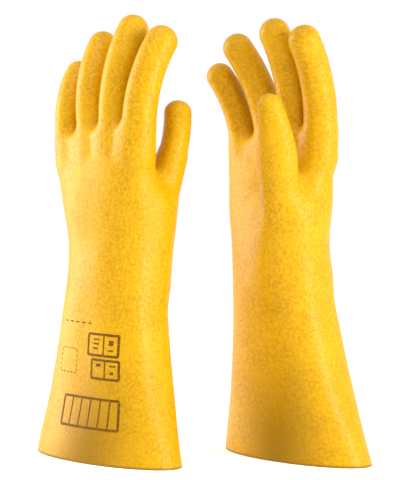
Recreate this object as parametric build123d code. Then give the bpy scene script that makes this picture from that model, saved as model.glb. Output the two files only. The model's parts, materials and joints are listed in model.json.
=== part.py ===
"""A pair of moulded rubber insulating gloves, standing on their bell cuffs.

Each glove is one dipped rubber skin. It is cut here where the rubber bends: at the wrist, at the root of each
digit and half way along each digit, so that the pieces can turn on each other. The gauntlet and the hand are each
cut once more, into a lower and an upper length that stay together.

A glove is drawn in its own frame: +X towards the thumb, +Y towards the palm side, +Z towards the fingertips,
origin at the middle of the hem. The right glove is the left one mirrored. All sizes are in millimetres.
"""

from build123d import *
import os

# The rubber
WALL = 2.0
JOINT_GAP = 0.4

# How the pair stands: turn of each glove about the vertical, hem to hem distance, and how far back the right one is
TURN_DEG = 45.0
HEM_TO_HEM = 153.0
STAGGER = 50.0

# The body of the glove: ovals from below the hem up to the webs of the fingers. Each is height, centre towards
# thumb, centre towards palm, half width, half depth, tilt down to the little finger and turn of its thumb end back.
HEM_TRIM = 6.0
BODY_OVALS = [
    (-HEM_TRIM, 1.0, -0.5, 75.5, 39.0, 0.0, 0.0),
    (0.0, 0.0, 0.0, 74.0, 39.0, 0.0, 0.0),
    (50.0, -4.0, 5.0, 62.5, 37.0, 0.0, 0.0),
    (105.0, -9.0, 10.0, 51.5, 35.0, 0.0, 0.0),
    (171.0, -16.0, 15.0, 44.5, 32.5, 0.0, 0.0),
    (205.0, -19.0, 12.5, 51.0, 30.0, 3.0, 1.0),
    (232.0, -23.0, 8.5, 54.0, 24.0, 6.0, 3.0),
    (250.0, -26.0, 6.5, 54.5, 19.0, 9.0, 3.5),
    (259.0, -26.5, 6.0, 51.0, 13.0, 9.0, 3.5),
    (262.5, -26.5, 6.0, 46.0, 8.0, 9.0, 3.5),
]

WRIST = Vector(-16.0, 15.0, 171.0)
WRIST_BEND_RADIUS = 43.0

# Where the bell cuff ends and the straight sleeve begins, and where the palm ends and the knuckles begin
CUFF_HEIGHT = 75.0
KNUCKLES = Vector(-24.0, 8.0, 237.0)
KNUCKLE_TILT = 6.0
THUMB_PARTING = 33.0

# The digits: hinge at the root, centre of the round tip, radius, bow of the arc between them, and the share of
# that arc at which the second hinge lies.
DIGITS = {
    "index": (Vector(15.5, 5.5, 272), Vector(16, 27.5, 336.5), 13.5, 5.0, 0.5),
    "middle": (Vector(-12.5, 6, 275), Vector(-18, 27.5, 343), 13.0, 5.0, 0.5),
    "ring": (Vector(-40, 7, 270), Vector(-55.5, 30, 328.5), 12.5, 5.0, 0.5),
    "little": (Vector(-67.5, 8.5, 259), Vector(-78.5, 26, 304.5), 11.5, 4.0, 0.5),
    "thumb": (Vector(11, 47, 240), Vector(8, 55.5, 279), 12.5, 2.0, 0.5),
}
BEND_RADIUS_SHARE = 1.3
STUB_LENGTH = 26.0

# The ball of the thumb: a cone from inside the palm up to the thumb's root
THUMB_BALL = Vector(0, 18, 150)
THUMB_BALL_RADIUS = 25.0

PALM_SIDE = Vector(0, 1, 0)
LITTLE_SIDE = Vector(-1, 0, 0)
FAR = 300.0
SIDES = ("left", "right")


def oval(height, centre_x, centre_y, half_width, half_depth, tilt, turn, inset):
    """One oval section of the glove body, drawn inset from its outline."""
    frame = Plane(origin=(centre_x, centre_y, height)) * Rot(0, -tilt, -turn)
    return frame * Ellipse(half_width - inset, half_depth - inset)


def glove_body(inset=0.0):
    """The solid inside the body's outer skin, or inside the skin that lies inset from it."""
    sections = [oval(*row, inset) for row in BODY_OVALS[:-2]]
    sections += [Pos(0, 0, -inset) * oval(*row, inset) for row in BODY_OVALS[-2:]]
    return loft(sections)


def side_of(frame, sign):
    """A large block on the +Z or -Z side of a plane."""
    return frame * Pos(0, 0, sign * FAR / 2) * Box(FAR, FAR, FAR)


class Digit:
    """A finger or thumb: a round tube along an arc, with a hinge at its root and one half way along."""

    def __init__(self, name):
        self.name = name
        self.root, self.tip, self.radius, bow, share = DIGITS[name]
        self.flex_side = LITTLE_SIDE if name == "thumb" else PALM_SIDE
        chord = self.tip - self.root
        self.axis = chord.cross(self.flex_side).normalized()
        outward = chord.cross(self.axis).normalized()
        if outward.dot(self.flex_side) > 0:
            outward = -outward
        self.arc = ThreePointArc(self.root, self.root + chord * 0.5 + outward * bow, self.tip)
        self.bend = self.arc @ share
        self.root_frame = Plane(origin=self.root, x_dir=self.axis, z_dir=self.arc % 0)
        self.bend_frame = Plane(origin=self.bend, x_dir=self.axis, z_dir=self.arc % share)
        self.bend_radius = self.radius * BEND_RADIUS_SHARE

    def tube(self, inset=0.0):
        """The solid inside the digit's skin, from inside the palm to the round tip."""
        start = self.root - (self.arc % 0) * STUB_LENGTH
        path = Wire([Line(start, self.root), self.arc])
        profile = Plane(origin=start, x_dir=self.axis, z_dir=self.arc % 0) * Circle(self.radius - inset)
        return sweep(profile, path=path) + Pos(*self.tip) * Sphere(self.radius - inset)

    def knuckle(self, frame, extra=0.0):
        """The round bar about a hinge's axis that parts the pieces on its two sides."""
        return frame * Rot(0, 90, 0) * Cylinder(self.bend_radius + extra, 3 * self.radius)

    def near_side(self, frame):
        """All that stays with the piece before a hinge."""
        return side_of(frame, -1) + self.knuckle(frame)

    def stub(self):
        """The length of the digit that belongs to the palm."""
        return self.tube() & self.near_side(self.root_frame)

    def pieces(self):
        """The two hollow lengths of the digit, beyond each hinge."""
        skin = self.tube() - self.tube(WALL)
        beyond_root = (skin & side_of(self.root_frame, 1)) - self.knuckle(self.root_frame, JOINT_GAP)
        base = beyond_root & self.near_side(self.bend_frame)
        tip = (skin & side_of(self.bend_frame, 1)) - self.knuckle(self.bend_frame, JOINT_GAP)
        return {f"{self.name}_base": base, f"{self.name}_tip": tip}


def thumb_ball(digit, inset=0.0):
    """The cone of rubber between the palm and the thumb's root."""
    towards = digit.root - THUMB_BALL
    wide = Plane(origin=THUMB_BALL, z_dir=towards) * Circle(THUMB_BALL_RADIUS - inset)
    narrow = Plane(origin=digit.root, z_dir=towards) * Circle(digit.radius - inset)
    return loft([wide, narrow])


def wrist_bar(extra=0.0):
    """The round bar about the wrist's axis that parts the gauntlet from the hand."""
    return Pos(*WRIST) * Rot(0, 90, 0) * Cylinder(WRIST_BEND_RADIUS + extra, FAR)


def beyond_thumb_parting():
    """A large block on the palm side of the plane between the knuckles and the thumb."""
    return side_of(Plane(origin=(0, THUMB_PARTING, KNUCKLES.Z), z_dir=PALM_SIDE), 1)

def glove_pieces():
    """Every piece of a left glove, by name, in the glove's own frame."""
    digits = [Digit(name) for name in DIGITS]
    thumb = digits[-1]
    outside = glove_body() + thumb_ball(thumb)
    inside = glove_body(WALL) + thumb_ball(thumb, WALL)
    for digit in digits:
        outside += digit.stub()
        inside += digit.tube(WALL)
    skin = outside - inside
    wrist_level = Plane(origin=WRIST)
    gauntlet = (skin & (side_of(wrist_level, -1) + wrist_bar())) - side_of(Plane.XY, -1)
    below_sleeve = side_of(Plane(origin=(0, 0, CUFF_HEIGHT)), -1)
    hand = (skin - side_of(wrist_level, -1)) - wrist_bar(JOINT_GAP)
    knuckle_block = side_of(Plane(origin=KNUCKLES) * Rot(0, -KNUCKLE_TILT, 0), 1) - beyond_thumb_parting()
    pieces = {
        "cuff": gauntlet & below_sleeve,
        "sleeve": gauntlet - below_sleeve,
        "palm": hand - knuckle_block,
        "knuckles": hand & knuckle_block,
    }
    for digit in digits:
        pieces.update(digit.pieces())
    return pieces


def standing(side, thing):
    """A shape taken from the glove's own frame to where that glove stands in the pair."""
    if side == "left":
        return Pos(-HEM_TO_HEM / 2, 0, 0) * Rot(0, 0, -TURN_DEG) * thing
    return Pos(HEM_TO_HEM / 2, STAGGER, 0) * Rot(0, 0, -TURN_DEG) * mirror(thing, about=Plane.XZ)


def pair_pieces():
    """Every piece of the pair in the part's frame, and the shift that put the origin under its middle."""
    glove = glove_pieces()
    pair = {f"{side}_{name}": standing(side, piece) for side in SIDES for name, piece in glove.items()}
    middle = Compound(children=[Part() + piece for piece in pair.values()]).bounding_box().center()
    shift = Vector(-middle.X, -middle.Y, 0)
    return {name: Pos(*shift) * piece for name, piece in pair.items()}, shift


def main():
    os.makedirs("parts", exist_ok=True)
    pieces, shift = pair_pieces()
    for name, piece in pieces.items():
        export_step(piece, f"parts/{name}.step")
    print("pieces", len(pieces), "shift", shift)


if __name__ == "__main__":
    main()
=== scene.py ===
"""A pair of moulded rubber insulating gloves.

Each glove is one smooth skin, cut into closed lengths in place of the CAD bodies, which are hidden.
"""

import json
import math
from collections import namedtuple

import bmesh
import bpy
import numpy as np
from mathutils import Matrix, Vector


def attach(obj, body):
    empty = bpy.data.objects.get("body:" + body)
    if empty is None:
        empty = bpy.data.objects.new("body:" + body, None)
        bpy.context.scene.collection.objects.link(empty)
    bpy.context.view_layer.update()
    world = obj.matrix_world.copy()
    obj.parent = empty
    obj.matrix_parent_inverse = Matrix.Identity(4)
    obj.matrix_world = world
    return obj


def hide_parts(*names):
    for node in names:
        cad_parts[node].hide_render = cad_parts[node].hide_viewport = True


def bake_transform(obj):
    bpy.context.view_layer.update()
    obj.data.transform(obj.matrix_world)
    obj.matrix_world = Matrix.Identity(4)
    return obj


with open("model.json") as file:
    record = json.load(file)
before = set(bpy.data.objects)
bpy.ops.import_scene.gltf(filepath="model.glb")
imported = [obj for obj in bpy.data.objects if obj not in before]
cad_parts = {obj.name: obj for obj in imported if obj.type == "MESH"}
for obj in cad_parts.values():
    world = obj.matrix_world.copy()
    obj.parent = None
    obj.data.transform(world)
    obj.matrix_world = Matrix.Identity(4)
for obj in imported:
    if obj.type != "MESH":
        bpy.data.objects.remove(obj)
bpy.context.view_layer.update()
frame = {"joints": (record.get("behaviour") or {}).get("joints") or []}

# ---------------------------------------------------------------- the glove's shape, in mm, in its own frame:
# +X towards the thumb, +Y towards the palm side, +Z towards the fingertips, origin at the middle of the hem.

WALL = 2.0
TURN = math.radians(-45.0)
WRIST = np.array([-16.0, 15.0, 171.0])
# how far above and below the wrist two points are worked out, which nothing uses
WRIST_REACH = 26.0

# the columns of the table of ovals, the last two in degrees
HEIGHT, CENTRE_X, CENTRE_Y, HALF_WIDTH, HALF_DEPTH, TILT, OVAL_TURN = range(7)
BODY_OVALS = np.array([
    (-6.0, 1.0, -0.5, 75.5, 39.0, 0.0, 0.0),
    (0.0, 0.0, 0.0, 74.0, 39.0, 0.0, 0.0),
    (50.0, -4.0, 5.0, 62.5, 37.0, 0.0, 0.0),
    (105.0, -9.0, 10.0, 51.5, 35.0, 0.0, 0.0),
    (171.0, -16.0, 15.0, 44.5, 32.5, 0.0, 0.0),
    (205.0, -19.0, 12.5, 51.5, 29.5, 3.0, 1.0),
    (232.0, -24.0, 8.5, 54.2, 22.5, 6.0, 3.0),
    (250.0, -26.5, 6.5, 54.0, 17.5, 9.0, 3.5),
    (262.0, -26.5, 6.0, 52.5, 15.5, 9.0, 3.5),
])
BODY_TOP = 262.0
BODY_TOP_ROUNDING = 9.0
# the sections lean from ovals to rounded oblongs over the first two heights, and back over the other two
SQUARENESS = 0.7
OBLONG_FROM = (5.0, 80.0)
OBLONG_UNTIL = (262.0, 240.0)

# root hinge, centre of the round tip, radius, bow of the arc and turn of the oval section in degrees,
# then half width and half depth against the radius, each at the hidden end, at the root and at the tip
DigitShape = namedtuple("DigitShape", "root tip radius bow turn across deep")
DIGITS = {
    "index": DigitShape(
        (15.5, 5.5, 272.0), (16.0, 27.5, 336.5), 13.5, 5.0, 0.0, (1.02, 1.0, 0.95), (1.08, 1.05, 0.98)),
    "middle": DigitShape(
        (-12.5, 6.0, 275.0), (-18.0, 27.5, 343.0), 13.0, 5.0, 0.0, (1.02, 1.0, 0.96), (1.14, 1.10, 0.98)),
    "ring": DigitShape(
        (-40.0, 7.0, 270.0), (-55.5, 30.0, 328.5), 12.5, 5.0, 0.0, (1.02, 1.0, 0.96), (1.20, 1.14, 0.98)),
    "little": DigitShape(
        (-67.5, 8.5, 259.0), (-78.5, 26.0, 304.5), 11.5, 4.0, 0.0, (1.02, 1.0, 0.96), (1.20, 1.14, 0.98)),
    "thumb": DigitShape(
        (10.5, 47.5, 240.0), (8.3, 55.2, 279.0), 12.5, 2.0, 45.0, (1.06, 1.26, 0.80), (0.94, 0.92, 0.88)),
}
# length of the hidden part of each digit, from the root hinge down into the palm
STUB = 26.0
THUMB_BALL = np.array([0.0, 18.0, 150.0])
THUMB_BALL_RADIUS = 25.0
THUMB_ROOT_RADIUS = 11.8

# how widely the parts run into each other
BALL_BLEND_LOW = 24.0
BALL_BLEND_HIGH = 8.0
BALL_BLEND_HEIGHTS = (200.0, 240.0)
BETWEEN_FINGERS_BLEND = 1.2
FINGERS_BLEND = 8.0
THUMB_BLEND = 5.0

# along a digit's arc from its root hinge: its cut from the palm, two places near its root, and the cut
# between base and tip. Last, a reach to either side of the middle. The two places and the reach only give
# points that nothing uses
DigitCuts = namedtuple("DigitCuts", "root bend_from bend_to middle middle_reach")
CUTS = {
    "index": DigitCuts(1.5, 4.0, 16.0, 20.0, 10.0),
    "middle": DigitCuts(-1.0, 3.0, 16.0, 20.0, 11.0),
    "ring": DigitCuts(-1.0, 3.0, 16.0, 19.0, 9.5),
    "little": DigitCuts(-1.5, 0.5, 11.0, 13.5, 8.0),
    "thumb": DigitCuts(-3.0, -1.5, 8.0, 9.5, 8.0),
}

# the height where the smooth skin ends, and the rings of the rounded edge below it, outside and inside,
# each as its height and its depth into the wall
HEM_START = 2.5
HEM_OUTER = [(1.2, 0.0), (0.45, 0.2), (0.1, 0.55), (0.0, 0.9)]
HEM_INNER = [(1.2, 2.0), (0.45, 1.8), (0.1, 1.45), (0.0, 1.1)]

# how much longer or shorter each digit is, because no two dipped gloves are quite alike
STRETCH = {
    "left": {"index": -2.0, "middle": -0.5, "ring": 0.0, "little": 0.0, "thumb": -1.5},
    "right": {"index": 3.0, "middle": 1.0, "ring": 2.5, "little": 2.5, "thumb": 8.0},
}
STRETCH_START = -4.0
# how far along a digit, as a share of its length, the direction of its stretch is taken
STRETCH_DIRECTION_AT = 0.7

# painted shade, darkening the rubber low at the cuff's middle and along the hem's edge; at the digits' tips
# painted shade together with the deeper colour of thicker latex
CUFF_PAINTED_SHADE = 0.95
CUFF_PAINTED_SHADE_HEIGHTS = (105.0, 8.0)
CUFF_PAINTED_SHADE_MIDDLE = 12.0
CUFF_PAINTED_SHADE_SPREAD = 34.0
HEM_PAINTED_SHADE_HEIGHTS = (2.4, 0.8)
TIP_SHADE_AND_LATEX = 0.4
TIP_SHADE_AND_LATEX_CLOSENESS = (6.0, 1.0)

# the grids that the outer and the inner skin are meshed on
OUTER_CELL = 2.2
INNER_CELL = 3.0
GRID_LOW = (-104.0, -44.0)
GRID_HIGH = (84.0, 78.0, 366.0)
CELL_CORNERS = [(i, j, k) for i in (0, 1) for j in (0, 1) for k in (0, 1)]
# how the vertices are spread afterwards
EVEN_ROUNDS = 6
EVEN_SHARE = 0.6
LEAST_SLOPE = 0.2

# the step for slopes, and how many steps a search for the skin takes
SLOPE_STEP = 0.25
EVEN_SEARCH = 2
HEM_SEARCH = 4
PRINT_SEARCH = 12

# a distance and a place along a digit that stand for "nowhere near"
FAR = 1e3
NO_CUT = -50.0
# skin further than this from a digit isn't cut with it
OWN_SKIN = 3.0
# rings with no more vertices than this are specks, not cuts
SHORT_RING = 8
# how many widths and depths are worked out along a digit
SIZE_STEPS = 60
# the box round a digit's hinge and tip outside which its distance isn't worked out
BOX_BELOW = 48
BOX_ABOVE = 40
# closer to a section's middle than this share of its size, the distance is only a rough guess
NEAR_MIDDLE = 0.3

# kinds of face: the skin, the hem's rounded edge and the bands that close the wall at cuts
SKIN, EDGE, CAP = 0, 1, 2

# ---------------------------------------------------------------- colours

RUBBER_LIGHT = (0.66, 0.352, 0.002, 1)
RUBBER_DARK = (0.455, 0.226, 0.001, 1)
RUBBER_BROAD = (0.66, 0.36, 0.003, 1)
# the dark amber of the painted shade, and of thicker latex at the tips
RUBBER_SHADE_AND_THICK_LATEX = (0.25, 0.124, 0.001, 1)
INK_DARK = (0.11, 0.042, 0.002, 1)
INK_WORN = (0.26, 0.115, 0.003, 1)
FLOOR_WHITE = (0.97, 0.97, 0.965, 1)

# ---------------------------------------------------------------- the distance function


def unit(v):
    return np.asarray(v, float) / np.linalg.norm(v)


def smooth_union(a, b, k):
    h = np.clip(0.5 + 0.5 * (b - a) / k, 0.0, 1.0)
    return b * (1 - h) + a * h - k * h * (1 - h)


def smooth_step(a, b, x):
    t = np.clip((x - a) / (b - a), 0.0, 1.0)
    return t * t * (3 - 2 * t)


def smooth_table(rows, heights):
    """Each column of rows against its first, on a smooth curve through the rows."""
    x = rows[:, 0]
    out = []
    for column in rows[:, 1:].T:
        slope = np.gradient(column, x)
        i = np.clip(np.searchsorted(x, heights) - 1, 0, len(x) - 2)
        step = x[i + 1] - x[i]
        t = np.clip((heights - x[i]) / step, 0.0, 1.0)
        a = (2 * t**3 - 3 * t**2 + 1) * column[i] + (-2 * t**3 + 3 * t**2) * column[i + 1]
        b = (t**3 - 2 * t**2 + t) * step * slope[i] + (t**3 - t**2) * step * slope[i + 1]
        out.append(a + b)
    return out


def body_distance(p):
    """Roughly how far each point is outside the glove's body, negative inside."""
    tilt, turn = smooth_table(BODY_OVALS[:, [HEIGHT, TILT, OVAL_TURN]], p[:, 2])
    cx, cy = smooth_table(BODY_OVALS[:, [HEIGHT, CENTRE_X, CENTRE_Y]], p[:, 2])
    height = p[:, 2] - (p[:, 0] - cx) * np.tan(np.radians(tilt))
    section = BODY_OVALS[:, [HEIGHT, CENTRE_X, CENTRE_Y, HALF_WIDTH, HALF_DEPTH]]
    cx, cy, half_width, half_depth = smooth_table(section, height)
    angle = np.radians(turn)
    dx, dy = p[:, 0] - cx, p[:, 1] - cy
    x = dx * np.cos(angle) - dy * np.sin(angle)
    y = dx * np.sin(angle) + dy * np.cos(angle)
    power = 2.0 + SQUARENESS * smooth_step(*OBLONG_FROM, height) * smooth_step(*OBLONG_UNTIL, height)
    # the oblong and the oval that it takes the place of meet on the diagonals
    fit = 2.0**(0.5 - 1.0 / power)
    x, y = np.abs(x) * fit / half_width, np.abs(y) * fit / half_depth
    reach = (x**power + y**power + 1e-12)**(1.0 / power)
    steepness = np.hypot(x**(power - 1.0) / half_width, y**(power - 1.0) / half_depth)
    slope = reach**(1.0 - power) * steepness * fit
    near = -half_depth * (1 - reach)
    side = np.where(reach > NEAR_MIDDLE, (reach - 1.0) / np.maximum(slope, 1e-6), near)
    lid = height - BODY_TOP
    return -smooth_union(-side, -lid, BODY_TOP_ROUNDING)


class Digit:
    """A finger or thumb along an arc, with the frame of the arc at every point."""

    def __init__(self, name):
        root, tip, self.radius, bow, turn, across, deep = DIGITS[name]
        self.turn = math.radians(turn)
        self.root, self.tip = np.array(root), np.array(tip)
        flex = np.array([-1.0, 0, 0]) if name == "thumb" else np.array([0, 1.0, 0])
        chord = self.tip - self.root
        self.axis = unit(np.cross(chord, flex))
        outward = unit(np.cross(chord, self.axis))
        self.out = outward if outward @ flex < 0 else -outward
        # the arc's circle, from its chord and bow
        half = np.linalg.norm(chord) / 2
        self.arc_radius = (half**2 + bow**2) / (2 * bow)
        self.centre = self.root + chord / 2 - self.out * (self.arc_radius - bow)
        self.along = unit(chord)
        self.half_angle = math.asin(half / self.arc_radius)
        self.length = 2 * self.half_angle * self.arc_radius
        self.first = self.direction(0.0)
        sizes = np.stack([(-STUB, 0.0, self.length), across, deep], 1)
        self.steps = np.linspace(-STUB, self.length, SIZE_STEPS)
        self.across, self.deep = (self.radius * size for size in smooth_table(sizes, self.steps))

    def point(self, s):
        """The middle line at a length along the arc."""
        angle = np.asarray(s) / self.arc_radius - self.half_angle
        outward = np.multiply.outer(np.cos(angle), self.out)
        forward = np.multiply.outer(np.sin(angle), self.along)
        return self.centre + self.arc_radius * (outward + forward)

    def direction(self, s):
        """The way that the middle line runs at a length along the arc."""
        angle = np.asarray(s) / self.arc_radius - self.half_angle
        return np.multiply.outer(-np.sin(angle), self.out) + np.multiply.outer(np.cos(angle), self.along)

    def outward(self, direction):
        """The way out of the bend, square to a direction along the digit."""
        square = np.cross(self.axis, direction)
        return square if square @ self.out > 0 else -square

    def place(self, p):
        """Each point's length along the digit, and its offsets from the middle line, aside and in depth."""
        v = p - self.centre
        aside = v @ self.axis
        radial, along = v @ self.out, v @ self.along
        angle = np.arctan2(along, radial) + self.half_angle
        s = angle * self.arc_radius
        depth = np.hypot(radial, along) - self.arc_radius
        end = self.direction(self.length)
        before = (p - self.root) @ self.first
        beyond = (p - self.tip) @ end
        straight = before < 0
        past = (beyond > 0) & ~straight
        s = np.where(straight, before, np.where(past, self.length + beyond, s))
        depth = np.where(straight, (p - self.root) @ self.outward(self.first), depth)
        depth = np.where(past, (p - self.tip) @ self.outward(end), depth)
        return s, aside, depth

    def distance(self, p):
        """Roughly how far each point is outside the digit, negative inside."""
        s, aside, depth = self.place(p)
        cos, sin = math.cos(self.turn), math.sin(self.turn)
        u, w = aside * cos + depth * sin, depth * cos - aside * sin
        across, deep = np.interp(s, self.steps, self.across), np.interp(s, self.steps, self.deep)
        cap = np.where(s > self.length, s - self.length, np.where(s < -STUB, s + STUB, 0.0))
        reach = np.sqrt((u / across)**2 + (w / deep)**2 + (cap / across)**2)
        slope = np.sqrt((u / across**2)**2 + (w / deep**2)**2 + (cap / across**2)**2) + 1e-9
        return np.where(reach > NEAR_MIDDLE, reach * (reach - 1.0) / slope, -across * (1 - reach))


digits = {name: Digit(name) for name in DIGITS}


def thumb_ball_distance(p):
    """How far each point is outside the ball of the thumb, a cone with round ends."""
    a, b = THUMB_BALL, digits["thumb"].root
    v = b - a
    t = np.clip((p - a) @ v / (v @ v), 0.0, 1.0)
    radius = THUMB_BALL_RADIUS + (THUMB_ROOT_RADIUS - THUMB_BALL_RADIUS) * t
    return np.linalg.norm(p - a - t[:, None] * v, axis=1) - radius


def glove_distance(p):
    """Roughly how far each point is outside the glove's outer skin, and its nearest digit's number, or -1."""
    p = np.asarray(p, float)
    rise = smooth_step(*BALL_BLEND_HEIGHTS, p[:, 2])
    spread = BALL_BLEND_LOW + (BALL_BLEND_HIGH - BALL_BLEND_LOW) * rise
    total = smooth_union(body_distance(p), thumb_ball_distance(p), spread)
    fingers = np.full(len(p), FAR)
    nearest = np.full(len(p), -1)
    thumb = np.full(len(p), FAR)
    for number, (name, digit) in enumerate(digits.items()):
        low = np.minimum(digit.root, digit.tip) - BOX_BELOW
        high = np.maximum(digit.root, digit.tip) + BOX_ABOVE
        near = np.all((p > low) & (p < high), axis=1)
        d = np.full(len(p), FAR)
        d[near] = digit.distance(p[near])
        closest = np.minimum(fingers, thumb)
        nearest = np.where(d < closest, number, nearest)
        if name == "thumb":
            thumb = d
        else:
            fingers = np.where(d < FAR, smooth_union(fingers, d, BETWEEN_FINGERS_BLEND), fingers)
    total = smooth_union(total, fingers, FINGERS_BLEND)
    total = smooth_union(total, thumb, THUMB_BLEND)
    return total, nearest


def gradient(p):
    """The slope of the glove's distance at each point."""
    g = np.zeros_like(p)
    for axis in range(3):
        step = np.zeros(3)
        step[axis] = SLOPE_STEP
        g[:, axis] = glove_distance(p + step)[0] - glove_distance(p - step)[0]
    return g / (2 * SLOPE_STEP)


# ---------------------------------------------------------------- the surface, and its cuts


def sample_field(axes, level):
    """The glove's distance less a level, at every point of a grid."""
    field = np.empty(tuple(len(axis) for axis in axes))
    for k, z in enumerate(axes[2]):
        gx, gy = np.meshgrid(axes[0], axes[1], indexing="ij")
        pts = np.stack([gx.ravel(), gy.ravel(), np.full(gx.size, z)], 1)
        field[:, :, k] = glove_distance(pts)[0].reshape(gx.shape) - level
    return field


def net_points(field, cells):
    """One point in each of the grid's cells, at the mean of the crossings of its edges, counted in cells."""
    total, crossings = np.zeros((len(cells), 3)), np.zeros(len(cells))
    for a in CELL_CORNERS:
        for axis in range(3):
            if a[axis]:
                continue
            b = tuple(1 if i == axis else a[i] for i in range(3))
            fa = field[tuple((cells + a).T)]
            fb = field[tuple((cells + b).T)]
            crossing = (fa < 0) != (fb < 0)
            t = np.where(crossing, fa / np.where(crossing, fa - fb, 1), 0)
            position = np.array(a, float) + t[:, None] * (np.array(b) - np.array(a))
            total += np.where(crossing[:, None], position, 0)
            crossings += crossing
    return cells + total / crossings[:, None]


def net_quads(inside, index):
    """A quad round every edge of the grid that goes through the surface, from the cells' point numbers."""
    n, m = inside.shape, index.shape
    quads = []
    for axis in range(3):
        u, v = (axis + 1) % 3, (axis + 2) % 3
        shift = [0, 0, 0]
        shift[axis] = 1
        a = inside[:n[0] - shift[0], :n[1] - shift[1], :n[2] - shift[2]]
        b = inside[shift[0]:, shift[1]:, shift[2]:]
        for sign, edge in ((1, a & ~b), (-1, ~a & b)):
            e = np.argwhere(edge)
            e = e[(e[:, u] > 0) & (e[:, v] > 0) & (e[:, u] < m[u]) & (e[:, v] < m[v])]
            loop = []
            for du, dv in ((1, 1), (0, 1), (0, 0), (1, 0)):
                c = e.copy()
                c[:, u] -= du
                c[:, v] -= dv
                loop.append(index[tuple(c.T)])
            quad = np.stack(loop, 1)
            quads.append(quad if sign > 0 else quad[:, ::-1])
    return np.concatenate(quads)


def surface(level, cell):
    """Vertices and quads of the surface at a level of the glove's distance, by surface nets."""
    low = np.array([*GRID_LOW, -2 * cell])
    n = np.ceil((np.array(GRID_HIGH) - low) / cell).astype(int) + 1
    field = sample_field([low[i] + cell * np.arange(n[i]) for i in range(3)], level)
    inside = field < 0
    m = n - 1
    count = sum(inside[i:i + m[0], j:j + m[1], k:k + m[2]].astype(int) for i, j, k in CELL_CORNERS)
    active = (count > 0) & (count < len(CELL_CORNERS))
    index = -np.ones(tuple(m), int)
    index[active] = np.arange(active.sum())
    points = low + cell * net_points(field, np.argwhere(active))
    return points, net_quads(inside, index)


def even(points, quads, level):
    """Spreads the vertices evenly over the surface and puts them exactly on it."""
    pairs = np.concatenate([quads[:, [i, (i + 1) % 4]] for i in range(4)])
    for _ in range(EVEN_ROUNDS):
        mean, number = np.zeros_like(points), np.zeros(len(points))
        for a, b in ((0, 1), (1, 0)):
            np.add.at(mean, pairs[:, a], points[pairs[:, b]])
            np.add.at(number, pairs[:, a], 1)
        mean /= np.maximum(number, 1)[:, None]
        g = gradient(points)
        normal = g / np.linalg.norm(g, axis=1)[:, None]
        move = (mean - points) * EVEN_SHARE
        move -= (move * normal).sum(1)[:, None] * normal
        points = points + move
        for _ in range(EVEN_SEARCH):
            d = glove_distance(points)[0] - level
            g = gradient(points)
            points = points - (d / np.maximum((g * g).sum(1), LEAST_SLOPE))[:, None] * g
    return points


def triangles(quads):
    return np.concatenate([quads[:, [0, 1, 2]], quads[:, [0, 2, 3]]])


def part_at_zero(points, faces, value):
    """Cuts triangles where value crosses zero: (points, faces on the positive side, faces on the other)."""
    side = value > 0
    count = side[faces].sum(1)
    mixed = faces[(count == 1) | (count == 2)]
    lone_side = (side[mixed].sum(1) == 1)
    lone = np.argmax(side[mixed] == lone_side[:, None], axis=1)
    rows = np.arange(len(mixed))
    a, b, c = (mixed[rows, (lone + i) % 3] for i in range(3))
    edges = np.sort(np.concatenate([np.stack([a, b], 1), np.stack([a, c], 1)]), axis=1)
    unique, where = np.unique(edges, axis=0, return_inverse=True)
    where = where.ravel()
    t = value[unique[:, 0]] / (value[unique[:, 0]] - value[unique[:, 1]])
    new = points[unique[:, 0]] + t[:, None] * (points[unique[:, 1]] - points[unique[:, 0]])
    ab, ac = where[:len(a)] + len(points), where[len(a):] + len(points)
    lone_faces = np.stack([a, ab, ac], 1)
    pair_faces = np.concatenate([np.stack([ab, b, c], 1), np.stack([ab, c, ac], 1)])
    pair_side = np.concatenate([~lone_side, ~lone_side])
    up = np.concatenate([faces[count == 3], lone_faces[lone_side], pair_faces[pair_side]])
    down = np.concatenate([faces[count == 0], lone_faces[~lone_side], pair_faces[~pair_side]])
    return np.concatenate([points, new]), up, down


def past_root_cut(points, level, name):
    """How far past a digit's root cut each point of that digit's surface is."""
    number, digit = list(DIGITS).index(name), digits[name]
    value = np.full(len(points), NO_CUT)
    mine = np.where(glove_distance(points)[1] == number)[0]
    s = digit.place(points[mine])[0]
    close = digit.distance(points[mine]) - level < OWN_SKIN
    value[mine] = np.where(close, s - CUTS[name].root, NO_CUT)
    return value


def skin_parts(level, cell):
    """One side of the glove's skin, cut into the body and two lengths for each digit."""
    points, quads = surface(level, cell)
    points = even(points, quads, level)
    points, faces, _ = part_at_zero(points, triangles(quads), points[:, 2] - HEM_START)
    parts = {}
    for name, digit in digits.items():
        points, beyond, faces = part_at_zero(points, faces, past_root_cut(points, level, name))
        s = np.full(len(points), NO_CUT)
        used = np.unique(beyond)
        s[used] = digit.place(points[used])[0]
        points, tip, base = part_at_zero(points, beyond, s - CUTS[name].middle)
        parts[name + "_base"], parts[name + "_tip"] = base, tip
    parts["body"] = faces
    return points, parts


# ---------------------------------------------------------------- closed lengths of skin


def open_loops(faces):
    """The closed rings of vertices round the holes of a set of faces, each in order."""
    edges = np.concatenate([faces[:, [0, 1]], faces[:, [1, 2]], faces[:, [2, 0]]])
    edges = edges[edges[:, 0] != edges[:, 1]]
    here = set(map(tuple, edges))
    follow = {a: b for a, b in here if (b, a) not in here}
    rings = []
    while follow:
        start = next(iter(follow))
        ring, at = [start], follow.pop(start)
        while at != start and at in follow:
            ring.append(at)
            at = follow.pop(at)
        rings.append(ring)
    return rings


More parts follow.
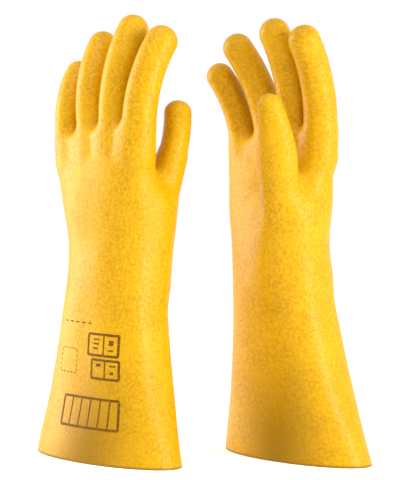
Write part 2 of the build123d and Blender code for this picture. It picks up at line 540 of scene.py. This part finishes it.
def join_rings(points, ring_a, ring_b, centre, axis_u, axis_v):
    """Triangles that fill the band between two rings round the same centre."""
    def by_angle(ring):
        d = points[ring] - centre
        angle = np.arctan2(d @ axis_v, d @ axis_u)
        order = np.argsort(angle)
        return [ring[i] for i in order], angle[order]
    (a, ta), (b, tb) = by_angle(ring_a), by_angle(ring_b)
    faces, i, j = [], 0, 0
    while i < len(a) or j < len(b):
        next_a = ta[(i + 1) % len(a)] + 2 * math.pi * ((i + 1) // len(a))
        next_b = tb[(j + 1) % len(b)] + 2 * math.pi * ((j + 1) // len(b))
        if j == len(b) or (i < len(a) and next_a <= next_b):
            faces.append((a[i % len(a)], a[(i + 1) % len(a)], b[j % len(b)]))
            i += 1
        else:
            faces.append((a[i % len(a)], b[(j + 1) % len(b)], b[j % len(b)]))
            j += 1
    return faces


def hem_ring(points, ring, height, depth):
    """A ring of the skin's points carried down to a height, at a depth in the wall."""
    p = points[ring].copy()
    p[:, 2] = height
    for _ in range(HEM_SEARCH):
        d = glove_distance(p)[0] + depth
        g = gradient(p)
        g[:, 2] = 0
        p -= (d / (g * g).sum(1))[:, None] * g
    return p


class Shell:
    """A closed length of skin: outer and inner faces, and the bands that join them."""

    def __init__(self, outer, outer_faces, inner, inner_faces):
        used_out, used_in = np.unique(outer_faces), np.unique(inner_faces)
        number_out = np.full(len(outer), -1)
        number_out[used_out] = np.arange(len(used_out))
        number_in = np.full(len(inner), -1)
        number_in[used_in] = np.arange(len(used_in)) + len(used_out)
        self.points = np.concatenate([outer[used_out], inner[used_in]])
        g_out, g_in = gradient(outer[used_out]), gradient(inner[used_in])
        self.normals = np.concatenate([g_out, -g_in])
        self.normals /= np.linalg.norm(self.normals, axis=1)[:, None]
        outside, inside = number_out[outer_faces], number_in[inner_faces][:, ::-1]
        self.faces = [outside, inside]
        self.kinds = [SKIN, SKIN]
        self.rings_out = open_loops(outside)
        self.rings_in = open_loops(inside)

    def ring_near(self, rings, centre):
        long_rings = [r for r in rings if len(r) > SHORT_RING]
        return min(long_rings, key=lambda r: np.linalg.norm(self.points[r].mean(0) - centre))

    def seam(self, centre, u, v):
        """Closes the wall at a cut."""
        a, b = self.ring_near(self.rings_out, centre), self.ring_near(self.rings_in, centre)
        self.faces.append(np.array(join_rings(self.points, a, b, centre, u, v)))
        self.kinds.append(CAP)

    def hem(self):
        """Closes the wall round the arm opening with a rounded edge."""
        centre = np.array([0.0, 0.0, HEM_START])
        ends = []
        for rings, profile in ((self.rings_out, HEM_OUTER), (self.rings_in, HEM_INNER)):
            ring = self.ring_near(rings, centre)
            for height, depth in profile:
                first = len(self.points)
                new = hem_ring(self.points, ring, height, depth)
                self.points = np.concatenate([self.points, new])
                self.normals = np.concatenate([self.normals, np.zeros_like(new)])
                after = list(range(first, first + len(ring)))
                a, b = np.array(ring), np.array(after)
                c, d = np.roll(b, -1), np.roll(a, -1)
                self.faces.append(np.concatenate([np.stack([a, b, c], 1), np.stack([a, c, d], 1)]))
                self.kinds.append(EDGE)
                ring = after
            ends.append(ring)
        x, y = np.array([1.0, 0, 0]), np.array([0, 1.0, 0])
        self.faces.append(np.array(join_rings(self.points, *ends, centre, x, y)))
        self.kinds.append(EDGE)


def close_cuts(shell, part):
    """Closes a shell's wall at every cut that bounds that part of the glove."""
    for name, digit in digits.items():
        at_root = (CUTS[name].root, ("body", name + "_base"))
        at_middle = (CUTS[name].middle, (name + "_base", name + "_tip"))
        for s, owners in (at_root, at_middle):
            if part in owners:
                centre = digit.point(s) if s > 0 else digit.root + digit.first * s
                direction = digit.direction(max(s, 0.0))
                shell.seam(centre, digit.axis, np.cross(direction, digit.axis))


def glove_shells():
    """Every length of one glove's skin, closed."""
    outer, outer_parts = skin_parts(0.0, OUTER_CELL)
    inner, inner_parts = skin_parts(-WALL, INNER_CELL)
    shells = {}
    for part, faces in outer_parts.items():
        shells[part] = Shell(outer, faces, inner, inner_parts[part])
        close_cuts(shells[part], part)
    shells["body"].hem()
    return shells


# ---------------------------------------------------------------- from a glove's frame to the scene's

joint_at = {j["name"]: Vector(j["pos_m"]) for j in frame["joints"] if "pos_m" in j}


class Side:
    """Takes points and directions from a glove's own frame to where that glove stands."""

    def __init__(self, side):
        self.side = side
        cos, sin = math.cos(TURN), math.sin(TURN)
        turn = np.array([[cos, -sin, 0], [sin, cos, 0], [0, 0, 1.0]])
        flip = np.diag([1.0, -1.0 if side == "right" else 1.0, 1.0])
        self.matrix = turn @ flip
        self.origin = np.array(joint_at[side + "_wrist_bend"])

    def points(self, p):
        return (np.asarray(p) - WRIST) @ self.matrix.T / 1000.0 + self.origin

    def directions(self, d):
        return np.asarray(d) @ self.matrix.T

    def point(self, p):
        return Vector(self.points(np.asarray(p, float)[None])[0])


def stretched(points, side):
    """The skin's points with each digit a little longer or shorter."""
    out = points.copy()
    _, nearest = glove_distance(points)
    for number, (name, digit) in enumerate(digits.items()):
        mine = np.where(nearest == number)[0]
        s = digit.place(points[mine])[0]
        share = smooth_step(STRETCH_START, digit.length, s) * STRETCH[side][name]
        out[mine] += share[:, None] * digit.direction(digit.length * STRETCH_DIRECTION_AT)
    return out


def painted_shade_and_thick_latex(points):
    """How much painted shade, together with thicker latex at the tips, darkens each point, from 0 to 1."""
    # painted shade: the cuff darkened low at its middle, between the sides that the lamps light
    across = np.exp(-((points[:, 0] - CUFF_PAINTED_SHADE_MIDDLE) / CUFF_PAINTED_SHADE_SPREAD)**2)
    out = CUFF_PAINTED_SHADE * smooth_step(*CUFF_PAINTED_SHADE_HEIGHTS, points[:, 2]) * across
    # painted shade along the hem's lowest edge
    out = np.maximum(out, smooth_step(*HEM_PAINTED_SHADE_HEIGHTS, points[:, 2]))
    _, nearest = glove_distance(points)
    for number, digit in enumerate(digits.values()):
        mine = np.where(nearest == number)[0]
        s = digit.place(points[mine])[0]
        # only where the skin is the digit's own
        close = smooth_step(*TIP_SHADE_AND_LATEX_CLOSENESS, digit.distance(points[mine]))
        # painted shade over the top of each round tip, together with the deeper colour of thicker latex there
        tip = TIP_SHADE_AND_LATEX * smooth_step(digit.length, digit.length + digit.radius, s)
        out[mine] = np.maximum(out[mine], tip * close)
    return out


# ---------------------------------------------------------------- the skins as objects


def add_object(name, mesh, material):
    obj = bpy.data.objects.new(name, mesh)
    bpy.context.scene.collection.objects.link(obj)
    mesh.materials.append(material)
    return obj


def face_outward(mesh):
    bm = bmesh.new()
    bm.from_mesh(mesh)
    bmesh.ops.recalc_face_normals(bm, faces=bm.faces)
    bm.to_mesh(mesh)
    bm.free()


def skin_mesh(name, shell, side):
    """A shell's mesh, and the kind of each of its faces."""
    faces = np.concatenate(shell.faces)
    kinds = np.concatenate([np.full(len(f), k) for f, k in zip(shell.faces, shell.kinds)])
    keep = (faces[:, 0] != faces[:, 1]) & (faces[:, 1] != faces[:, 2]) & (faces[:, 2] != faces[:, 0])
    faces, kinds = faces[keep], kinds[keep]
    mesh = bpy.data.meshes.new(name)
    mesh.from_pydata(side.points(stretched(shell.points, side.side)).tolist(), [], faces.tolist())
    kind_layer = mesh.attributes.new("kind", "INT", "FACE")
    kind_layer.data.foreach_set("value", kinds.astype(np.int32))
    # each vertex's amount of painted shade, and of thicker latex at the tips
    shade_and_latex_layer = mesh.attributes.new("painted_shade_and_thick_latex", "FLOAT", "POINT")
    shade_and_latex_layer.data.foreach_set("value", painted_shade_and_thick_latex(shell.points).astype(np.float32))
    face_outward(mesh)
    mesh.polygons.foreach_set("use_smooth", [True] * len(mesh.polygons))
    mesh.update()
    kinds = np.zeros(len(mesh.polygons), np.int32)
    mesh.attributes["kind"].data.foreach_get("value", kinds)
    return mesh, kinds


def set_normals(mesh, kinds, normals):
    """Gives the skin its exact normals. Bands at cuts stay flat, and the hem's edge keeps the mesh's own."""
    corners = np.zeros(len(mesh.loops), np.int32)
    mesh.loops.foreach_get("vertex_index", corners)
    flat = np.zeros(len(mesh.polygons) * 3, np.float32)
    mesh.polygons.foreach_get("normal", flat)
    flat = np.repeat(flat.reshape(-1, 3), 3, axis=0)
    round_normals = np.zeros(len(mesh.vertices) * 3, np.float32)
    mesh.vertex_normals.foreach_get("vector", round_normals)
    missing = np.linalg.norm(normals, axis=1) < 0.5
    normals[missing] = round_normals.reshape(-1, 3)[missing]
    loops = normals[corners]
    on_cut = np.repeat(kinds, 3) == CAP
    loops[on_cut] = flat[on_cut]
    mesh.normals_split_custom_set(loops.tolist())


def skin_object(name, shell, side, material):
    mesh, kinds = skin_mesh(name, shell, side)
    set_normals(mesh, kinds, side.directions(shell.normals))
    mesh.attributes.remove(mesh.attributes["kind"])
    return add_object(name, mesh, material)


def bend_body(obj, side):
    """Hides the CAD parts under the body's skin and bakes the skin's transform; two points by the wrist are
    worked out but not used.
    """
    name = side.side
    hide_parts(*(f"{name}_{length}" for length in ("cuff", "sleeve", "palm", "knuckles")))
    start, end = (side.point(WRIST + np.array([0, 0, z])) for z in (-WRIST_REACH, WRIST_REACH))
    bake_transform(obj)


def bend_digit(obj, side, part):
    """Hides the CAD part under a digit's length and bakes the skin's transform; the points at its root or its
    middle are worked out but not used.
    """
    name, length = part.rsplit("_", 1)
    digit, cuts = digits[name], CUTS[name]
    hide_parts(f"{side.side}_{part}")
    if length == "base":
        points = [digit.root + digit.first * s for s in (cuts.bend_from, cuts.bend_to)]
    else:
        middle = digit.point(digit.length / 2)
        direction = digit.direction(digit.length / 2)
        points = [middle - direction * cuts.middle_reach, middle + direction * cuts.middle_reach]
    side.point(points[0])
    side.point(points[1])
    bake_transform(obj)


def add_gloves(material):
    shells = glove_shells()
    for side in (Side("left"), Side("right")):
        for part, shell in shells.items():
            obj = skin_object(f"{side.side}_{part}_skin", shell, side, material)
            if part == "body":
                bend_body(obj, side)
            else:
                bend_digit(obj, side, part)


# ---------------------------------------------------------------- materials


def node(tree, kind, at, **values):
    n = tree.nodes.new(kind)
    n.location = at
    for key, value in values.items():
        n.inputs[key.replace("_", " ")].default_value = value
    return n


def colour_mix(tree, at, **colours):
    """A mix of two colours, of which those that aren't given are linked later."""
    mix = tree.nodes.new("ShaderNodeMix")
    mix.data_type = "RGBA"
    mix.location = at
    for socket, colour in colours.items():
        mix.inputs[socket].default_value = colour
    return mix


def rubber_material():
    """Amber dipped latex: mottled, darker where painted shade and thicker latex are stored, satin, with a
    fine grain.
    """
    material = bpy.data.materials.new("amber_rubber")
    material.use_nodes = True
    tree = material.node_tree
    link = tree.links.new
    shader = tree.nodes["Principled BSDF"]
    place = node(tree, "ShaderNodeTexCoord", (-1400, 0))
    broad = node(tree, "ShaderNodeTexNoise", (-1100, 300), Scale=38.0, Detail=3.0, Roughness=0.5)
    mottle = node(tree, "ShaderNodeTexNoise", (-1100, 0), Scale=420.0, Detail=5.0, Roughness=0.7)
    grain = node(tree, "ShaderNodeTexNoise", (-1100, -300), Scale=900.0, Detail=2.0, Roughness=0.5)
    for texture in (broad, mottle, grain):
        link(place.outputs["Object"], texture.inputs["Vector"])

    # colour: fine mottling, then broad patches, then the painted shade and the deeper colour of thicker latex
    spots = node(tree, "ShaderNodeMapRange", (-880, 0), From_Min=0.38, From_Max=0.62)
    link(mottle.outputs["Fac"], spots.inputs["Value"])
    mottled = colour_mix(tree, (-620, 200), A=RUBBER_LIGHT, B=RUBBER_DARK)
    link(spots.outputs["Result"], mottled.inputs["Factor"])
    patches = node(tree, "ShaderNodeMapRange", (-880, 300), From_Min=0.45, From_Max=0.75, To_Max=0.55)
    link(broad.outputs["Fac"], patches.inputs["Value"])
    patched = colour_mix(tree, (-400, 250), B=RUBBER_BROAD)
    link(patches.outputs["Result"], patched.inputs["Factor"])
    link(mottled.outputs["Result"], patched.inputs["A"])
    # the painted shade, and thicker latex at the tips, deepen the colour towards a dark amber
    depth = tree.nodes.new("ShaderNodeAttribute")
    depth.attribute_name = "painted_shade_and_thick_latex"
    depth.location = (-1100, 600)
    shade_and_latex_amount = node(tree, "ShaderNodeMapRange", (-620, 600), To_Max=0.9)
    link(depth.outputs["Fac"], shade_and_latex_amount.inputs["Value"])
    shade_and_latex_mix = colour_mix(tree, (-200, 300), B=RUBBER_SHADE_AND_THICK_LATEX)
    link(shade_and_latex_amount.outputs["Result"], shade_and_latex_mix.inputs["Factor"])
    link(patched.outputs["Result"], shade_and_latex_mix.inputs["A"])
    link(shade_and_latex_mix.outputs["Result"], shader.inputs["Base Color"])

    # gloss and grain
    gloss = node(tree, "ShaderNodeMapRange", (-620, -100), From_Min=0.3, From_Max=0.7)
    gloss.inputs["To Min"].default_value = 0.30
    gloss.inputs["To Max"].default_value = 0.42
    link(mottle.outputs["Fac"], gloss.inputs["Value"])
    link(gloss.outputs["Result"], shader.inputs["Roughness"])
    fine = node(tree, "ShaderNodeBump", (-400, -300), Strength=0.25, Distance=0.0003)
    link(grain.outputs["Fac"], fine.inputs["Height"])
    uneven = node(tree, "ShaderNodeBump", (-200, -250), Strength=0.3, Distance=0.0008)
    link(mottle.outputs["Fac"], uneven.inputs["Height"])
    link(fine.outputs["Normal"], uneven.inputs["Normal"])
    link(uneven.outputs["Normal"], shader.inputs["Normal"])
    shader.inputs["Specular IOR Level"].default_value = 0.15
    return material


def ink_material():
    """Dark brown printing ink, slightly broken."""
    material = bpy.data.materials.new("marking_ink")
    material.use_nodes = True
    tree = material.node_tree
    link = tree.links.new
    shader = tree.nodes["Principled BSDF"]
    place = node(tree, "ShaderNodeTexCoord", (-900, 0))
    patches = node(tree, "ShaderNodeTexNoise", (-700, 0), Scale=700.0, Detail=2.0, Roughness=0.6)
    link(place.outputs["Object"], patches.inputs["Vector"])
    worn = node(tree, "ShaderNodeMapRange", (-500, 0), From_Min=0.45, From_Max=0.7)
    link(patches.outputs["Fac"], worn.inputs["Value"])
    mix = colour_mix(tree, (-250, 0), A=INK_DARK, B=INK_WORN)
    link(worn.outputs["Result"], mix.inputs["Factor"])
    link(mix.outputs["Result"], shader.inputs["Base Color"])
    shader.inputs["Roughness"].default_value = 0.6
    shader.inputs["Specular IOR Level"].default_value = 0.1
    return material


# ---------------------------------------------------------------- the print on the back of the left cuff
# Plain frames, bars and dashes with no lettering. Places are (towards the thumb, height) in mm.

# how far the print stands out of the skin, and reaches into it
INK_RISE = 0.12
INK_ROOT = 0.5
# a place outside the cuff's back, where the search for the skin starts
OUTSIDE_BACK = -40.0
STROKE_STEP = 2.0
# widths of strokes: the faint box's, the faint row's, lines' and boxes'
FAINT, ROW, FINE, BOLD = 0.8, 1.1, 1.2, 1.9

UPPER_BOX = [(-4.0, 101.5), (25.0, 101.5), (27.0, 85.0), (-2.5, 85.0)]
LOWER_BOX = [(2.5, 81.5), (28.5, 81.5), (31.0, 67.0), (4.5, 67.0)]
WIDE_BOX = [(-22.5, 51.0), (34.5, 51.0), (38.0, 28.0), (-22.0, 28.0)]
FAINT_BOX = [(-35.0, 88.0), (-16.0, 88.0), (-13.5, 69.0), (-34.5, 69.0)]
UPPER_DIVIDER = ((12.0, 101.0), (13.5, 85.5), FINE)
LOWER_DIVIDER = ((16.0, 81.0), (18.0, 67.5), FINE)
# three lines, each a little shorter than the one above it
UPPER_LINES = [((2.0, top), (top / 12.0, top), FINE) for top in (97.5, 94.0, 90.5)]
UPPER_BARS = [((17.5, 95.5), (21.5, 95.5), 4.0), ((17.5, 89.5), (22.5, 89.5), FINE)]
LOWER_BARS = [
    ((21.0, 77.5), (26.5, 77.5), FINE),
    ((8.0, 77.5), (12.5, 77.5), 2.4),
    ((22.5, 72.0), (25.5, 72.0), 2.2),
]
# these lean a little towards the thumb on their way down, the further ones more
WIDE_DIVIDERS = [((x, 50.5), (x * 1.04 + 0.5, 28.5), FINE) for x in (-12.0, -2.0, 8.0, 18.0, 27.0)]
FAINT_ROW = ((-36.5, 109.0), (-0.5, 109.3))
DASHES = 5


def on_back(x, z, rise):
    """Points over the back of the cuff at a height above the skin."""
    p = np.stack([x, np.full(len(x), OUTSIDE_BACK), z], 1)
    for _ in range(PRINT_SEARCH):
        d = glove_distance(p)[0] - rise
        g = gradient(p)
        p[:, 1] -= d / g[:, 1]
    return p


def stroke(a, b, width):
    """A thin closed strip of print from a to b, lying on the skin."""
    a, b = np.array(a, float), np.array(b, float)
    length = np.linalg.norm(b - a)
    steps = max(2, int(length / STROKE_STEP) + 1)
    t = np.linspace(0, 1, steps)
    middle = a + t[:, None] * (b - a)
    across = np.array([-(b - a)[1], (b - a)[0]]) / length * width / 2
    edges = (middle + across, middle - across)
    rings = [on_back(edge[:, 0], edge[:, 1], rise) for rise in (INK_RISE, -INK_ROOT) for edge in edges]
    points = np.stack([rings[0], rings[1], rings[3], rings[2]], 1).reshape(-1, 3)
    faces = [[0, 1, 2, 3], [4 * steps - 1, 4 * steps - 2, 4 * steps - 3, 4 * steps - 4]]
    for i in range(steps - 1):
        for j in range(4):
            k = (j + 1) % 4
            faces.append([4 * i + j, 4 * i + 4 + j, 4 * i + 4 + k, 4 * i + k])
    return points, faces


def frame_strokes(corners, width):
    return [(corners[i], corners[(i + 1) % 4], width) for i in range(4)]


def dashes(a, b, width):
    """Short strokes in line from a to b."""
    a, step = np.array(a), (np.array(b) - np.array(a)) / DASHES
    return [(a + step * (i + 0.2), a + step * (i + 0.7), width) for i in range(DASHES)]


def marking_strokes():
    """Two divided boxes over a wide divided one, a faint dashed box beside them and a faint row above."""
    strokes = frame_strokes(UPPER_BOX, BOLD) + frame_strokes(LOWER_BOX, BOLD)
    strokes += [UPPER_DIVIDER, LOWER_DIVIDER] + UPPER_LINES + UPPER_BARS + LOWER_BARS
    strokes += frame_strokes(WIDE_BOX, BOLD) + WIDE_DIVIDERS
    for a, b, width in frame_strokes(FAINT_BOX, FAINT):
        strokes += dashes(a, b, width)
    return strokes + dashes(*FAINT_ROW, ROW)


def add_marking():
    points, faces = [], []
    for a, b, width in marking_strokes():
        p, f = stroke(a, b, width)
        faces += [[i + sum(map(len, points)) for i in face] for face in f]
        points.append(p)
    mesh = bpy.data.meshes.new("left_marking")
    mesh.from_pydata(Side("left").points(np.concatenate(points)).tolist(), [], faces)
    face_outward(mesh)
    obj = add_object("left_marking", mesh, ink_material())
    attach(obj, "left_gauntlet")


# ---------------------------------------------------------------- floor, light and camera

CAMERA_TARGET = Vector((-0.004, 0.0, 0.1763))
CAMERA_BACK = 2.6
ELEVATION = math.radians(4.2)
ROLL = math.radians(2.1)
LENS = 242.3
FLOOR_REACH = 12.0
BACKDROP_STRENGTH = 1.03
# name, place, what it is aimed at, size, power and colour
SOFTBOXES = [
    ("left_softbox", (-1.0, 0.36, 0.4), (0, 0, 0.17), (0.55, 0.8), 11.3, (1.0, 0.98, 0.97)),
    ("right_softbox", (1.42, -0.85, 0.5), (0, 0, 0.17), (0.6, 0.9), 25.0, (1.0, 0.98, 0.93)),
    ("top_softbox", (-0.2, -0.5, 1.6), (0, 0, 0.25), (0.9, 0.9), 9.0, (1.0, 0.98, 0.94)),
]


def add_camera():
    up = Vector((0, math.sin(ELEVATION), math.cos(ELEVATION)))
    back = Vector((0, -math.cos(ELEVATION), math.sin(ELEVATION)))
    level = Vector((1, 0, 0))
    across = level * math.cos(ROLL) + up * math.sin(ROLL)
    upward = up * math.cos(ROLL) - level * math.sin(ROLL)
    data = bpy.data.cameras.new("camera")
    data.lens = LENS
    data.clip_end = 50
    camera = bpy.data.objects.new("camera", data)
    place = Matrix((across, upward, back)).transposed().to_4x4()
    place.translation = CAMERA_TARGET + back * CAMERA_BACK
    camera.matrix_world = place
    bpy.context.scene.collection.objects.link(camera)
    bpy.context.scene.camera = camera


def add_light(name, at, aim, size, power, colour):
    data = bpy.data.lights.new(name, "AREA")
    data.shape = "RECTANGLE"
    data.size, data.size_y = size
    data.energy = power
    data.color = colour
    light = bpy.data.objects.new(name, data)
    light.location = at
    light.rotation_euler = (Vector(aim) - Vector(at)).to_track_quat("-Z", "Y").to_euler()
    bpy.context.scene.collection.objects.link(light)


def add_floor():
    material = bpy.data.materials.new("pale_floor")
    material.use_nodes = True
    shader = material.node_tree.nodes["Principled BSDF"]
    shader.inputs["Base Color"].default_value = FLOOR_WHITE
    shader.inputs["Roughness"].default_value = 0.9
    shader.inputs["Specular IOR Level"].default_value = 0.1
    mesh = bpy.data.meshes.new("floor")
    corners = [(-1, -1), (1, -1), (1, 1), (-1, 1)]
    mesh.from_pydata([(x * FLOOR_REACH, y * FLOOR_REACH, 0) for x, y in corners], [], [(0, 1, 2, 3)])
    add_object("floor", mesh, material)


def add_world():
    world = bpy.data.worlds.new("studio")
    world.use_nodes = True
    background = world.node_tree.nodes["Background"]
    background.inputs["Color"].default_value = (1, 1, 1, 1)
    background.inputs["Strength"].default_value = BACKDROP_STRENGTH
    bpy.context.scene.world = world


add_gloves(rubber_material())
add_marking()
add_camera()
add_floor()
add_world()
for softbox in SOFTBOXES:
    add_light(*softbox)
bpy.context.scene.view_settings.view_transform = "Standard"
